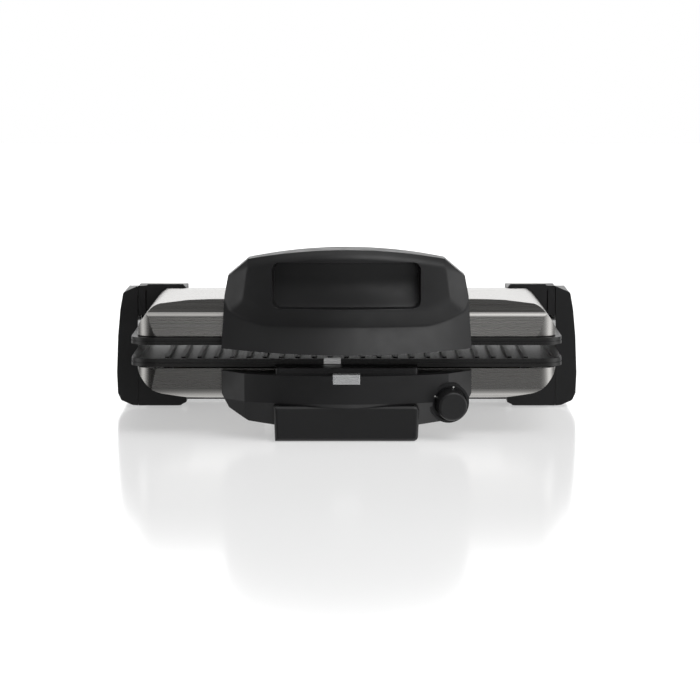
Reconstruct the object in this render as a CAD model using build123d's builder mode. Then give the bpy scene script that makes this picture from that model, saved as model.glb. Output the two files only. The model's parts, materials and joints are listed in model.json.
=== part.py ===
"""Panini press with a floating 180 degree lid.

Millimetres. +X is the user's right, +Y the back, +Z up. The origin is on the worktop under the middle
of the press. The lid is modelled raised by one slice of toast, which is the rest position.
"""
import os

from build123d import *

os.makedirs("parts", exist_ok=True)

# ---- driving dimensions -------------------------------------------------------------------------
SHELL_HALF = 168.5          # half width of the steel shells
SHELL_FRONT = -112.0        # front wall of the shells
SHELL_BACK = 118.0          # back wall of the shells
SHELL_CORNER = 17.0         # plan corner radius of the shells
SHEET = 0.9                 # pressed steel thickness

BASE_TOP = 53.2             # open edge of the lower shell
BASE_FLOOR = 27.4           # underside of the lower shell in the middle
LID_EDGE = 79.0             # open edge of the lid shell
LID_CREASE = 97.0           # crease between the lid's front wall and its shoulder
LID_TOP = 106.6             # highest line of the lid, just behind the shoulder
LID_BACK_TOP = 100.4        # top of the lid at its back

PLATE_HALF = 173.2          # half width of the cast grill plates
PLATE_FRONT = -118.5
PLATE_BACK = 121.6
PLATE_CORNER = 20.0
LOWER_RIM = (55.0, 61.4)    # bottom and top of the lower plate's rim
UPPER_RIM = (72.5, 78.2)    # bottom and top of the upper plate's rim
RIB_PITCH = 13.2
RIB_COUNT = 23
RIB_WIDTH = 4.6

FASCIA_HALF = 100.0         # half width of the handle and the console
WALL = 2.6                  # moulded wall thickness
FACET_X = 81.0              # where the front pad ends and the side facet begins
CONSOLE_TOP = 52.3
CONSOLE_CREASE = 30.0
HANDLE_BOTTOM = 68.8
HANDLE_CREASE = 89.7
HANDLE_BAND = 104.4
HANDLE_TOP = 151.0
SKIRT_BACK = -124.5         # the handle skirt hangs in front of the upper plate's rim
GRIP_HALF = 58.5            # half width of the finger recess
GRIP_LOW = 104.4
GRIP_HIGH = 140.6
SEAM_Y = -127.0             # parting line between the handle's two mouldings

FOOT_HALF = 57.6            # front foot block
FOOT_TOP = 28.4
FOOT_FRONT = -161.6
PAD_HEIGHT = 1.4            # rubber feet

POST_INNER = 179.4          # inner face of the rear posts
POST_FRONT = 71.0
POST_BACK = 149.5
GUIDE_THICK = 4.4           # slotted guide plate inside each post
WRAP_INNER = 138.0          # inner end of the brackets and arms
ARM_OUTER = 178.8
ARM_PLATE = 169.6           # the arm's hinge plate starts here
ARM_BACK = 121.0
WRAP_TOP = 106.0            # top of the arm at its front, which falls towards the back
WRAP_FALL = 3.2

HINGE_Y = 128.0             # lid hinge axis, along X
HINGE_Z = 77.0
ROD_R = 3.0
RUNNING = 0.05              # radial clearance of a running fit
FLOAT_DOWN = 10.5           # the hinge sinks this far when the press is empty
FLOAT_UP = 12.0             # and rises this far over a thick sandwich

KNOB_AT = (81.6, -143.5, 28.9)                # where the knob's axis leaves the console
KNOB_TILT = (0.2064, -0.9709, -0.1219)        # 12 degrees to the right, 7 degrees down
KNOB_R = 12.0
KNOB_LONG = 15.5
DIAL_R = 14.0               # sunk ring round the knob

GAP = 0.3                   # clearance between neighbouring pieces

SHELL_MID_Y = (SHELL_FRONT + SHELL_BACK) / 2
PLATE_MID_Y = (PLATE_FRONT + PLATE_BACK) / 2
PLATE_DEPTH = PLATE_BACK - PLATE_FRONT
SIDES = {"left": -1, "right": 1}


def finish(builder, name):
    """Labels a finished piece and writes it."""
    builder.part.label = name
    export_step(builder.part, f"parts/{name}.step")


# ---- outlines shared by several pieces ----------------------------------------------------------
def shell_plan(inset):
    """Plan outline of the steel shells."""
    with Locations((0, SHELL_MID_Y)):
        RectangleRounded(
            2 * (SHELL_HALF - inset), SHELL_BACK - SHELL_FRONT - 2 * inset, SHELL_CORNER - inset
        )


def lid_form(inset, edge=LID_EDGE):
    """The lid's outside, moved inwards by inset: its side, front and plan outlines crossed."""
    with BuildPart() as form:
        with BuildSketch(Plane.YZ):
            with BuildLine():
                side = FilletPolyline(
                    (SHELL_FRONT + inset, edge),
                    (SHELL_FRONT + 2 + inset, LID_CREASE - 0.6 * inset),
                    (-84, LID_TOP - inset),
                    (-20, LID_TOP + 1.5 - inset),
                    (SHELL_BACK - 14, LID_BACK_TOP - inset),
                    (SHELL_BACK - inset, edge),
                    radius=[5, 14, 200, 9],
                )
                Line(side @ 1, side @ 0)
            make_face()
        extrude(amount=SHELL_HALF, both=True)
        with BuildSketch(Plane.XZ):
            with BuildLine():
                rim = SHELL_HALF - inset
                right = FilletPolyline(
                    (rim, edge),
                    (rim - 1, 88),
                    (155.5 - 0.7 * inset, 103.2 - 0.7 * inset),
                    (128, LID_TOP - 0.6 - inset),
                    radius=[10, 14],
                )
                left = mirror(right, about=Plane.YZ)
                ThreePointArc(right @ 1, (0, LID_TOP + 1.4 - inset), left @ 1)
                Line(left @ 0, right @ 0)
            make_face()
        extrude(amount=2 * SHELL_HALF, both=True, mode=Mode.INTERSECT)
        with BuildSketch(Plane.XY.offset(edge)):
            shell_plan(inset)
        extrude(amount=LID_TOP, mode=Mode.INTERSECT)
    return form.part


def base_form(inset, edge=BASE_TOP):
    """The lower shell's outside, moved inwards by inset."""
    with BuildPart() as form:
        with BuildSketch(Plane.YZ):
            with BuildLine():
                side = FilletPolyline(
                    (SHELL_FRONT + inset, edge),
                    (SHELL_FRONT + 1 + inset, BASE_FLOOR + 1.2 + inset),
                    (SHELL_BACK - 4 - inset, BASE_FLOOR + inset),
                    (SHELL_BACK - inset, edge),
                    radius=[9, 9],
                )
                Line(side @ 1, side @ 0)
            make_face()
        extrude(amount=SHELL_HALF, both=True)
        with BuildSketch(Plane.XZ):
            with BuildLine():
                rim = SHELL_HALF - inset
                right = FilletPolyline(
                    (rim, edge),
                    (rim - 1, 48),
                    (157 - 0.7 * inset, 34 + 0.7 * inset),
                    (128, BASE_FLOOR + 1.6 + inset),
                    radius=[14, 24],
                )
                left = mirror(right, about=Plane.YZ)
                ThreePointArc(right @ 1, (0, BASE_FLOOR + inset), left @ 1)
                Line(left @ 0, right @ 0)
            make_face()
        extrude(amount=2 * SHELL_HALF, both=True, mode=Mode.INTERSECT)
        with BuildSketch(Plane.XY):
            shell_plan(inset)
        extrude(amount=edge, mode=Mode.INTERSECT)
    return form.part


def fascia_plan(z, middle, ends, half, facet_back, back, inset):
    """Plan section of the handle or console: bowed front, two facets, straight sides and back."""
    pad = FACET_X - 0.9 * inset
    half = half - inset
    middle = middle + 1.2 * inset
    ends = ends + 1.7 * inset
    facet_back = facet_back + 0.7 * inset
    with BuildSketch(Plane.XY.offset(z)) as plan:
        with BuildLine():
            ThreePointArc((-pad, ends), (0, middle), (pad, ends))
            Polyline(
                (pad, ends), (half, facet_back), (half, back - inset),
                (-half, back - inset), (-half, facet_back), (-pad, ends),
            )
        make_face()
    return plan.sketch


def console_form(inset):
    """The console's outside: a ruled loft trimmed to its outline seen from the front."""
    sections = [
        fascia_plan(CONSOLE_TOP - inset, -165.0, -143.5, 100, -119, -60, inset),
        fascia_plan(CONSOLE_CREASE, -164.0, -142.5, 100, -118, -60, inset),
        fascia_plan(6 + inset, -146.0, -126.0, 100, -106, -60, inset),
    ]
    with BuildPart() as form:
        loft(sections=sections, ruled=True)
        with BuildSketch(Plane.XZ):
            with BuildLine():
                half = FASCIA_HALF - inset
                right = Polyline(
                    (half, CONSOLE_TOP + 1),
                    (half, CONSOLE_CREASE + 4),
                    (94 - inset, 23 + 0.6 * inset),
                    (78 - 0.6 * inset, 13.6 + inset),
                    (FOOT_HALF - 2, 11 + inset),
                )
                left = mirror(right, about=Plane.YZ)
                Line(left @ 1, right @ 1)
                Line(left @ 0, right @ 0)
            make_face()
        extrude(amount=2 * SHELL_HALF, both=True, mode=Mode.INTERSECT)
    return form.part


def handle_form(inset):
    """The handle's outside: leaning skirt, overhanging band and upright pad."""
    sections = [
        fascia_plan(HANDLE_BOTTOM - 2 + inset, -164.5, -144.0, 100.2, -122, -84, inset),
        fascia_plan(HANDLE_CREASE, -150.0, -131.0, 99.6, -117, -84, inset),
        fascia_plan(HANDLE_BAND, -156.5, -138.0, 98.4, -118, -84, inset),
        fascia_plan(142, -158.0, -140.0, 93.0, -124, -108, inset),
        fascia_plan(HANDLE_TOP + 1 - inset, -151.0, -135.0, 90.0, -126, -114, inset),
    ]
    with BuildPart() as form:
        loft(sections=sections, ruled=True)
        with BuildSketch(Plane.XZ):
            with BuildLine():
                half = FASCIA_HALF - inset
                low = HANDLE_BOTTOM + inset
                right = Polyline(
                    (half + 0.2, low + 2.4),
                    (half - 2.4, 112),
                    (94.5 - inset, 128.4 - 0.5 * inset),
                    (78 - 0.6 * inset, 142.7 - inset),
                )
                left = mirror(right, about=Plane.YZ)
                ThreePointArc(right @ 1, (0, HANDLE_TOP - inset), left @ 1)
                ThreePointArc(left @ 0, (0, low), right @ 0)
            make_face()
        extrude(amount=2 * SHELL_HALF, both=True, mode=Mode.INTERSECT)
    return form.part


def grip_form(outset):
    """The scooped finger recess in the handle's front, grown by outset."""
    with BuildPart() as form:
        with BuildSketch(Plane.YZ):
            with BuildLine():
                scoop = FilletPolyline(
                    (-180, GRIP_LOW - outset),
                    (-150, GRIP_LOW - outset),
                    (-134 + outset, 124),
                    (-139 + outset, GRIP_HIGH + outset),
                    (-180, GRIP_HIGH + outset),
                    radius=[10, 9, 6],
                )
                Line(scoop @ 1, scoop @ 0)
            make_face()
        extrude(amount=GRIP_HALF + outset, both=True)
    return form.part


def rim_form(inset, low, high):
    """A slab with the grill plates' plan outline."""
    with BuildPart() as form:
        with BuildSketch(Plane.XY.offset(low)):
            with Locations((0, PLATE_MID_Y)):
                RectangleRounded(
                    2 * (PLATE_HALF - inset), PLATE_DEPTH - 2 * inset, PLATE_CORNER - inset
                )
        extrude(amount=high - low)
    return form.part


LID_BODY = lid_form(0)
LID_CAVITY = lid_form(SHEET, LID_EDGE - 1)
LID_KEEPOUT = lid_form(-0.2, LID_EDGE - 0.2)
BASE_BODY = base_form(0)
BASE_CAVITY = base_form(SHEET, BASE_TOP + 1)
BASE_KEEPOUT = base_form(-0.2, BASE_TOP + 0.2)
CONSOLE_BODY = console_form(0)
CONSOLE_CAVITY = console_form(WALL)
CONSOLE_KEEPOUT = console_form(-0.1)
KNOB_PLANE = Plane(origin=KNOB_AT, x_dir=(1, 0.2126, 0), z_dir=KNOB_TILT)


# ---- lower shell and console --------------------------------------------------------------------
CONSOLE_SCREW_AT = [(-50, 42), (50, 42)]
CONSOLE_BOSS = 42.0         # from the shell's front wall into the console's front wall
M4_R = 2.0
M4_HEAD = 3.6
BRACKET_SCREW_AT = [(-144, 84), (-144, 106), (144, 84), (144, 106)]
WIRE_X = (-22, 22)          # where the element's wires leave the shells
GROMMET_R = 4.6
BASE_WIRES_Z = 45.0
LID_WIRES_Z = 87.0

with BuildPart() as base_shell:
    add(BASE_BODY)
    add(BASE_CAVITY, mode=Mode.SUBTRACT)
    with BuildSketch(Plane.XZ.offset(-SHELL_FRONT - 4)):
        with Locations(*CONSOLE_SCREW_AT):
            Circle(M4_R + 0.2)
        with Locations((20, 40)):
            Circle(5)
    extrude(amount=10, mode=Mode.SUBTRACT)
    with BuildSketch(Plane.XZ.offset(4 - SHELL_BACK)):
        with Locations(*[(x, BASE_WIRES_Z) for x in WIRE_X]):
            Circle(GROMMET_R)
    extrude(amount=-10, mode=Mode.SUBTRACT)
    with BuildSketch(Plane.XY.offset(BASE_FLOOR)):
        with Locations(*BRACKET_SCREW_AT):
            Circle(M4_R + 0.2)
    extrude(amount=10, mode=Mode.SUBTRACT)
finish(base_shell, "base_shell")


def wire_grommets(z, wall):
    """Two rubber grommets in a shell's back wall, whose outside stands at y = wall."""
    with BuildPart() as grommets:
        flange = (wall + 0.05, 1.6, GROMMET_R + 1.6)
        neck = (wall - 2.6, 2.8, GROMMET_R - 0.05)
        for start, length, radius in (flange, neck):
            with BuildSketch(Plane.XZ.offset(-start)):
                with Locations(*[(x, z) for x in WIRE_X]):
                    Circle(radius)
            extrude(amount=-length)
        with BuildSketch(Plane.XZ.offset(3 - wall)):
            with Locations(*[(x, z) for x in WIRE_X]):
                Circle(1.8)
        extrude(amount=-8, mode=Mode.SUBTRACT)
        chamfer(grommets.faces().sort_by(Axis.Y)[-1].edges().filter_by(GeomType.CIRCLE), length=0.5)
    return grommets


finish(wire_grommets(BASE_WIRES_Z, SHELL_BACK - 0.2), "base_wire_grommets")

LEDGE_HALF = 56.4
LEDGE_TOP = 57.2
LEDGE_FRONT = -150.0
LENS_HALF = 10.7
LENS_LOW = 46.0

with BuildPart() as console:
    add(CONSOLE_BODY)
    with BuildSketch(Plane.XY.offset(CONSOLE_TOP)):
        with Locations((0, (LEDGE_FRONT + PLATE_FRONT) / 2)):
            RectangleRounded(2 * LEDGE_HALF, PLATE_FRONT - LEDGE_FRONT, 3)
    extrude(amount=LEDGE_TOP - CONSOLE_TOP)
    add(CONSOLE_CAVITY, mode=Mode.SUBTRACT)
    with BuildSketch(KNOB_PLANE.offset(-9)):
        Circle(DIAL_R + 2)
    extrude(amount=9.8)
    with BuildSketch(KNOB_PLANE.offset(-2)):
        Circle(DIAL_R)
    extrude(amount=20, mode=Mode.SUBTRACT)
    with BuildSketch(KNOB_PLANE.offset(-12)):
        Circle(ROD_R + 0.4)
    extrude(amount=20, mode=Mode.SUBTRACT)
    for x, z in CONSOLE_SCREW_AT:
        with BuildSketch(Plane(origin=(x, SHELL_FRONT - GAP, z), x_dir=(1, 0, 0), z_dir=(0, -1, 0))):
            Circle(5)
            Circle(M4_R + 0.03, mode=Mode.SUBTRACT)
        extrude(amount=CONSOLE_BOSS)
    with BuildSketch(Plane.YZ.offset(-LENS_HALF - 0.15)):
        with BuildLine():
            Polyline(
                (-170, LENS_LOW - 0.15), (LEDGE_FRONT - 8, LENS_LOW - 0.15), (LEDGE_FRONT - 8, 50),
                (LEDGE_FRONT, 50), (LEDGE_FRONT, 60), (-170, 60), close=True,
            )
        make_face()
    extrude(amount=2 * LENS_HALF + 0.3, mode=Mode.SUBTRACT)
    add(BASE_KEEPOUT, mode=Mode.SUBTRACT)
    with BuildSketch(Plane.XY):
        with Locations((0, 0)):
            Rectangle(400, 218)
    extrude(amount=LEDGE_TOP, mode=Mode.SUBTRACT)
finish(console, "console")


with BuildPart() as indicator_lens:
    with BuildSketch(Plane.YZ.offset(-LENS_HALF)):
        with BuildLine():
            FilletPolyline(
                (-165.4, LENS_LOW), (LEDGE_FRONT - 8.2, LENS_LOW), (LEDGE_FRONT - 8.2, 50.3),
                (LEDGE_FRONT - 0.2, 50.3), (LEDGE_FRONT - 0.2, 53.4), (-165.4, 53.4),
                radius=0.4, close=True,
            )
        make_face()
    extrude(amount=2 * LENS_HALF)
    for step in range(5):
        with BuildSketch(Plane.YZ.offset(-LENS_HALF)):
            with Locations((-165.6, LENS_LOW + 1 + 1.4 * step)):
                Rectangle(1.0, 0.5)
        extrude(amount=2 * LENS_HALF, mode=Mode.SUBTRACT)
finish(indicator_lens, "indicator_lens")

with BuildPart() as indicator_lamp:
    with BuildSketch(Plane.YZ.offset(-9)):
        with Locations((-154.6, 46.6)):
            Circle(2.4)
    extrude(amount=18)
    fillet(indicator_lamp.edges().filter_by(GeomType.CIRCLE), radius=1.0)
finish(indicator_lamp, "indicator_lamp")

with BuildPart() as console_screws:
    for x, z in CONSOLE_SCREW_AT:
        with BuildSketch(Plane(origin=(x, SHELL_FRONT + 2, z), x_dir=(1, 0, 0), z_dir=(0, 1, 0))):
            Circle(M4_HEAD)
        extrude(amount=2.4)
        with BuildSketch(Plane(origin=(x, SHELL_FRONT + 2, z), x_dir=(1, 0, 0), z_dir=(0, -1, 0))):
            Circle(M4_R)
        extrude(amount=14)
finish(console_screws, "console_screws")

# ---- front foot ---------------------------------------------------------------------------------
FOOT_BACK = -118.0
with BuildPart() as front_foot:
    with BuildSketch(Plane.XZ.offset(-FOOT_BACK)):
        with BuildLine():
            FilletPolyline(
                (FOOT_HALF, FOOT_TOP), (FOOT_HALF - 1.2, PAD_HEIGHT - 1), (1.2 - FOOT_HALF, PAD_HEIGHT - 1),
                (-FOOT_HALF, FOOT_TOP), radius=[4, 4, 0.5, 0.5], close=True,
            )
        make_face()
    extrude(amount=FOOT_BACK - FOOT_FRONT)
    fillet(front_foot.edges().filter_by(Axis.Z, tolerance=4).group_by(Axis.Y)[0], radius=3)
    with BuildSketch(Plane.XY.offset(PAD_HEIGHT - 2)):
        with Locations((-42, -140), (42, -140)):
            RectangleRounded(19, 15, 4)
    extrude(amount=3, mode=Mode.SUBTRACT)
    with BuildSketch(Plane.XY.offset(5)):
        with Locations((0, (FOOT_FRONT + FOOT_BACK) / 2)):
            Rectangle(2 * (FOOT_HALF - 4), FOOT_BACK - FOOT_FRONT - 7)
    extrude(amount=30, mode=Mode.SUBTRACT)
    add(CONSOLE_KEEPOUT, mode=Mode.SUBTRACT)
finish(front_foot, "front_foot")

with BuildPart() as front_foot_pads:
    with BuildSketch(Plane.XY):
        with Locations((-42, -140), (42, -140)):
            RectangleRounded(18.6, 14.6, 3.8)
    extrude(amount=2.4)
    chamfer(front_foot_pads.faces().sort_by(Axis.Z)[0].edges(), length=0.5)
finish(front_foot_pads, "front_foot_pads")

# ---- knob and thermostat ------------------------------------------------------------------------
with BuildPart() as thermostat:
    with BuildSketch(KNOB_PLANE.offset(-23.4)):
        with Locations((-4.2, 3.4)):
            RectangleRounded(14.6, 12.6, 2)
    extrude(amount=11.4)
    with BuildSketch(KNOB_PLANE.offset(-12)):
        Circle(3.4)
    extrude(amount=2.4)
    with BuildSketch(KNOB_PLANE.offset(-16)):
        Circle(ROD_R - 0.4 + RUNNING)
    extrude(amount=8, mode=Mode.SUBTRACT)
finish(thermostat, "thermostat")

with BuildPart() as thermostat_shaft:
    with BuildSketch(KNOB_PLANE.offset(-15.8)):
        Circle(ROD_R - 0.4)
    extrude(amount=15.8 + 10)
    with BuildSketch(KNOB_PLANE.offset(2)):
        with Locations((0, 3.6)):
            Rectangle(8, 4)
    extrude(amount=10, mode=Mode.SUBTRACT)
finish(thermostat_shaft, "thermostat_shaft")

with BuildPart() as knob:
    with BuildSketch(KNOB_PLANE.offset(-1.6)):
        Circle(KNOB_R)
    extrude(amount=KNOB_LONG, taper=1.5)
    fillet(knob.faces().sort_by(Axis.Y)[0].edges(), radius=2.2)
    with BuildSketch(KNOB_PLANE.offset(-1.6)):
        Circle(KNOB_R - 2)
        Circle(5, mode=Mode.SUBTRACT)
    extrude(amount=9, mode=Mode.SUBTRACT)
    add(thermostat_shaft.part, mode=Mode.SUBTRACT)
finish(knob, "knob")

DIAL_MARK_TURNS = (74.5, 155)    # degrees round the dial from its right

with BuildPart() as dial_marks:
    for turn in DIAL_MARK_TURNS:
        with BuildSketch(KNOB_PLANE.offset(-2)):
            with PolarLocations(DIAL_R - 1.1, 1, start_angle=turn):
                Circle(0.7)
        extrude(amount=0.35)
finish(dial_marks, "dial_marks")

# ---- grill plates -------------------------------------------------------------------------------
SLAB = 3.0                  # thickness of the cast plate under its ribs
RIB_HIGH = 3.0
RIB_LONG = 196.0


def grill_plate(rim, face, outward):
    """A ribbed casting: grooved rim, recessed slab and ribs. outward is +1 with the face upwards."""
    low, high = rim
    open_from = face if outward > 0 else low - 1
    open_to = high + 1 if outward > 0 else face
    hollow = rim_form(7, open_from, open_to)
    back = rim_form(13, face - SLAB, face) if outward > 0 else rim_form(13, face, face + SLAB)
    spare = rim_form(7, low - 1, face - SLAB) if outward > 0 else rim_form(7, face + SLAB, high + 2)
    groove_at = (low + high) / 2
    ring = rim_form(-5, groove_at - 0.5, groove_at + 0.5) - rim_form(0.9, low, high)
    with BuildPart() as plate:
        add(rim_form(0, low, high))
        add(hollow, mode=Mode.SUBTRACT)
        add(spare, mode=Mode.SUBTRACT)
        add(back)
        add(ring, mode=Mode.SUBTRACT)
        with BuildSketch(Plane.XY.offset(face)):
            with Locations((0, PLATE_MID_Y + 3)):
                with GridLocations(RIB_PITCH, 1, RIB_COUNT, 1):
                    SlotCenterToCenter(RIB_LONG - RIB_WIDTH, RIB_WIDTH, rotation=90)
        extrude(amount=RIB_HIGH * outward, taper=12)
    return plate


lower_grill_plate = grill_plate(LOWER_RIM, 57.6, 1)
finish(lower_grill_plate, "lower_grill_plate")
upper_grill_plate = grill_plate(UPPER_RIM, 76.2, -1)
finish(upper_grill_plate, "upper_grill_plate")

# ---- heating elements and heat shields ----------------------------------------------------------
ELEMENT_R = 3.1
ELEMENT_BEND = 14
SHIELD_INSET = 12.0
SHIELD_WALL = 8.0


def heating_element(z):
    """Tubular element in one flat loop, with both ends at the back."""
    with BuildPart() as element:
        with BuildLine() as path:
            FilletPolyline(
                (-22, 102, z), (-22, 74, z), (-138, 74, z), (-138, -84, z), (-58, -84, z), (-58, 22, z),
                (58, 22, z), (58, -84, z), (138, -84, z), (138, 74, z), (22, 74, z), (22, 102, z),
                radius=ELEMENT_BEND,
            )
        with BuildSketch(Plane(origin=path.line @ 0, z_dir=path.line % 0)):
            Circle(ELEMENT_R)
        sweep()
    return element


def element_terminals(z):
    """Ceramic beads and blade tabs on the element's two ends."""
    with BuildPart() as terminals:
        for x in (-22, 22):
            with BuildSketch(Plane.XZ.offset(-102)):
                with Locations((x, z)):
                    Circle(3.3)
            extrude(amount=-5)
            with BuildSketch(Plane.XZ.offset(-107)):
                with Locations((x, z)):
                    Rectangle(5, 0.8)
            extrude(amount=-4.5)
    return terminals


def heat_shield(z, upward):
    """Shallow polished tray behind an element. upward is +1 when its rim points up."""
    with BuildPart() as shield:
        with BuildSketch(Plane.XY.offset(z)):
            with Locations((0, SHELL_MID_Y)):
                RectangleRounded(296, 190, 10)
        extrude(amount=SHIELD_WALL * upward)
        with BuildSketch(Plane.XY.offset(z + 0.8 * upward)):
            with Locations((0, SHELL_MID_Y)):
                RectangleRounded(294.4, 188.4, 9.2)
        extrude(amount=SHIELD_WALL * upward, mode=Mode.SUBTRACT)
        with BuildSketch(Plane.XY.offset(z - 1)):
            with GridLocations(190, 110, 2, 2):
                Circle(1.75)
        extrude(amount=3, mode=Mode.SUBTRACT)
        with BuildSketch(Plane.XY.offset(z + upward)):
            with Locations((-22, 100), (22, 100)):
                Rectangle(9, 12)
        extrude(amount=SHIELD_WALL * upward, mode=Mode.SUBTRACT)
    return shield


def shield_spacers(z, length):
    """Four threaded spacers between a shell and its heat shield."""
    with BuildPart() as spacers:
        with BuildSketch(Plane.XY.offset(z)):
            with GridLocations(190, 110, 2, 2):
                Circle(4)
                Circle(1.6, mode=Mode.SUBTRACT)
        extrude(amount=length)
    return spacers


def shield_screws(z, upward):
    """Pan-head screws holding a heat shield on its spacers."""
    with BuildPart() as screws:
        with BuildSketch(Plane.XY.offset(z)):
            with GridLocations(190, 110, 2, 2):
                Circle(3.2)
        extrude(amount=1.4 * upward)
        with BuildSketch(Plane.XY.offset(z)):
            with GridLocations(190, 110, 2, 2):
                Circle(1.55)
        extrude(amount=-7 * upward)
    return screws


LOWER_ELEMENT_Z = 50.2
UPPER_ELEMENT_Z = 83.6
LOWER_SHIELD_Z = 40.0
UPPER_SHIELD_Z = 93.0

lower_heating_element = heating_element(LOWER_ELEMENT_Z)
finish(lower_heating_element, "lower_heating_element")
upper_heating_element = heating_element(UPPER_ELEMENT_Z)
finish(upper_heating_element, "upper_heating_element")
lower_element_terminals = element_terminals(LOWER_ELEMENT_Z)
finish(lower_element_terminals, "lower_element_terminals")
upper_element_terminals = element_terminals(UPPER_ELEMENT_Z)
finish(upper_element_terminals, "upper_element_terminals")
lower_heat_shield = heat_shield(LOWER_SHIELD_Z, 1)
finish(lower_heat_shield, "lower_heat_shield")
upper_heat_shield = heat_shield(UPPER_SHIELD_Z, -1)
finish(upper_heat_shield, "upper_heat_shield")
lower_shield_spacers = shield_spacers(BASE_FLOOR + SHEET + 2.2, LOWER_SHIELD_Z - BASE_FLOOR - SHEET - 2.2)
finish(lower_shield_spacers, "lower_shield_spacers")
upper_shield_spacers = shield_spacers(UPPER_SHIELD_Z, 7.5)
finish(upper_shield_spacers, "upper_shield_spacers")
lower_shield_screws = shield_screws(LOWER_SHIELD_Z + 0.8, 1)
finish(lower_shield_screws, "lower_shield_screws")
upper_shield_screws = shield_screws(UPPER_SHIELD_Z - 0.8, -1)
finish(upper_shield_screws, "upper_shield_screws")

# ---- plate catches ------------------------------------------------------------------------------
CATCH_X = 11.4
CATCH_HALF = 6.8
CATCH_SHEET = 0.9


def plate_catch(x, low, high):
    """Sprung steel catch hooked over a plate's front rim: a folded tongue with two pressed ribs."""
    front = PLATE_FRONT - GAP
    with BuildPart() as catch:
        with BuildSketch(Plane.YZ.offset(x - CATCH_HALF)):
            with Locations((front - CATCH_SHEET / 2, (low + high) / 2)):
                Rectangle(CATCH_SHEET, high - low)
            with Locations((front - CATCH_SHEET - 0.3, low + 1.2), (front - CATCH_SHEET - 0.3, high - 1.2)):
                Circle(0.7)
        extrude(amount=2 * CATCH_HALF)
    return catch


lower_plate_catch = plate_catch(-CATCH_X, LOWER_RIM[0] + 2.6, LOWER_RIM[1] + 1.0)
finish(lower_plate_catch, "lower_plate_catch")
upper_plate_catch = plate_catch(CATCH_X, UPPER_RIM[0] - 1.0, UPPER_RIM[1] - 1.4)
finish(upper_plate_catch, "upper_plate_catch")

# ---- lid shell and handle -----------------------------------------------------------------------
HANDLE_SCREW_AT = [(-66, 88), (66, 88)]
ARM_SCREW_AT = [(146, 82), (146, 98)]
HANDLE_BOSS = 22.0          # from the lid's front wall into the skirt

with BuildPart() as lid_shell:
    add(LID_BODY)
    add(LID_CAVITY, mode=Mode.SUBTRACT)
    with BuildSketch(Plane.XZ.offset(-SHELL_FRONT - 6)):
        with Locations(*HANDLE_SCREW_AT):
            Circle(M4_R + 0.2)
    extrude(amount=12, mode=Mode.SUBTRACT)
    with BuildSketch(Plane.XY.offset(LID_BACK_TOP - 6)):
        with Locations(*[(sign * x, y) for sign in SIDES.values() for x, y in ARM_SCREW_AT]):
            Circle(M4_R + 0.2)
    extrude(amount=12, mode=Mode.SUBTRACT)
    with BuildSketch(Plane.XZ.offset(4 - SHELL_BACK)):
        with Locations(*[(x, LID_WIRES_Z) for x in WIRE_X]):
            Circle(GROMMET_R)
    extrude(amount=-10, mode=Mode.SUBTRACT)
finish(lid_shell, "lid_shell")
finish(wire_grommets(LID_WIRES_Z, SHELL_BACK - 0.2), "lid_wire_grommets")

HANDLE_BODY = handle_form(0)
HANDLE_CAVITY = handle_form(WALL) - grip_form(WALL)
GRIP = grip_form(0)

with BuildPart() as handle:
    add(HANDLE_BODY)
    add(HANDLE_CAVITY, mode=Mode.SUBTRACT)
    add(GRIP, mode=Mode.SUBTRACT)
    with BuildSketch(Plane.XY.offset(HANDLE_BOTTOM - 5)):
        with Locations((0, SKIRT_BACK + 40)):
            Rectangle(2 * FASCIA_HALF + 10, 80)
    extrude(amount=LID_EDGE + GAP - HANDLE_BOTTOM + 5, mode=Mode.SUBTRACT)
    add(LID_KEEPOUT, mode=Mode.SUBTRACT)

with BuildPart() as handle_front:
    add(handle.part)
    split(bisect_by=Plane.XZ.offset(-SEAM_Y), keep=Keep.TOP)
    for x, z in HANDLE_SCREW_AT:
        with BuildSketch(Plane(origin=(x, SHELL_FRONT - GAP, z), x_dir=(1, 0, 0), z_dir=(0, -1, 0))):
            Circle(5)
            Circle(M4_R + 0.03, mode=Mode.SUBTRACT)
        extrude(amount=HANDLE_BOSS)
finish(handle_front, "handle_front")

with BuildPart() as handle_back:
    add(handle.part)
    split(bisect_by=Plane.XZ.offset(-SEAM_Y), keep=Keep.BOTTOM)
finish(handle_back, "handle_back")

with BuildPart() as handle_screws:
    for x, z in HANDLE_SCREW_AT:
        with BuildSketch(Plane(origin=(x, SHELL_FRONT + 3.4, z), x_dir=(1, 0, 0), z_dir=(0, 1, 0))):
            Circle(M4_HEAD)
        extrude(amount=2.4)
        with BuildSketch(Plane(origin=(x, SHELL_FRONT + 3.4, z), x_dir=(1, 0, 0), z_dir=(0, -1, 0))):
            Circle(M4_R)
        extrude(amount=16)
finish(handle_screws, "handle_screws")

# ---- rear posts, brackets and rear cover --------------------------------------------------------
POST_OUTLINE = [                # seen from the front, for the right-hand post
    (POST_INNER, 1.2), (184.5, 1.6), (194.0, 5.8), (196.9, 12), (197.6, 30), (196.4, 62),
    (194.4, 84), (191.8, 98.8), (POST_INNER, 104.2),
]
POST_POCKET = 191.8             # the hollow inside a post ends here
POST_TOP_BACK = 98.4            # the post's top falls towards the back
GUIDE_LOW = 6.1
GUIDE_HIGH = 95.6
POST_WALL = 2.6
SLOT_HALF = ROD_R + GAP
POST_SCREWS = [(84, 18), (84, 88), (140, 18), (140, 90)]
TIE_AT = [(172, 14)]            # long screws tying the rear cover to the brackets
SLIDER_X = (POST_INNER + GUIDE_THICK + 0.4, 188.2)
ROD_HALF = 190.0


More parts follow.
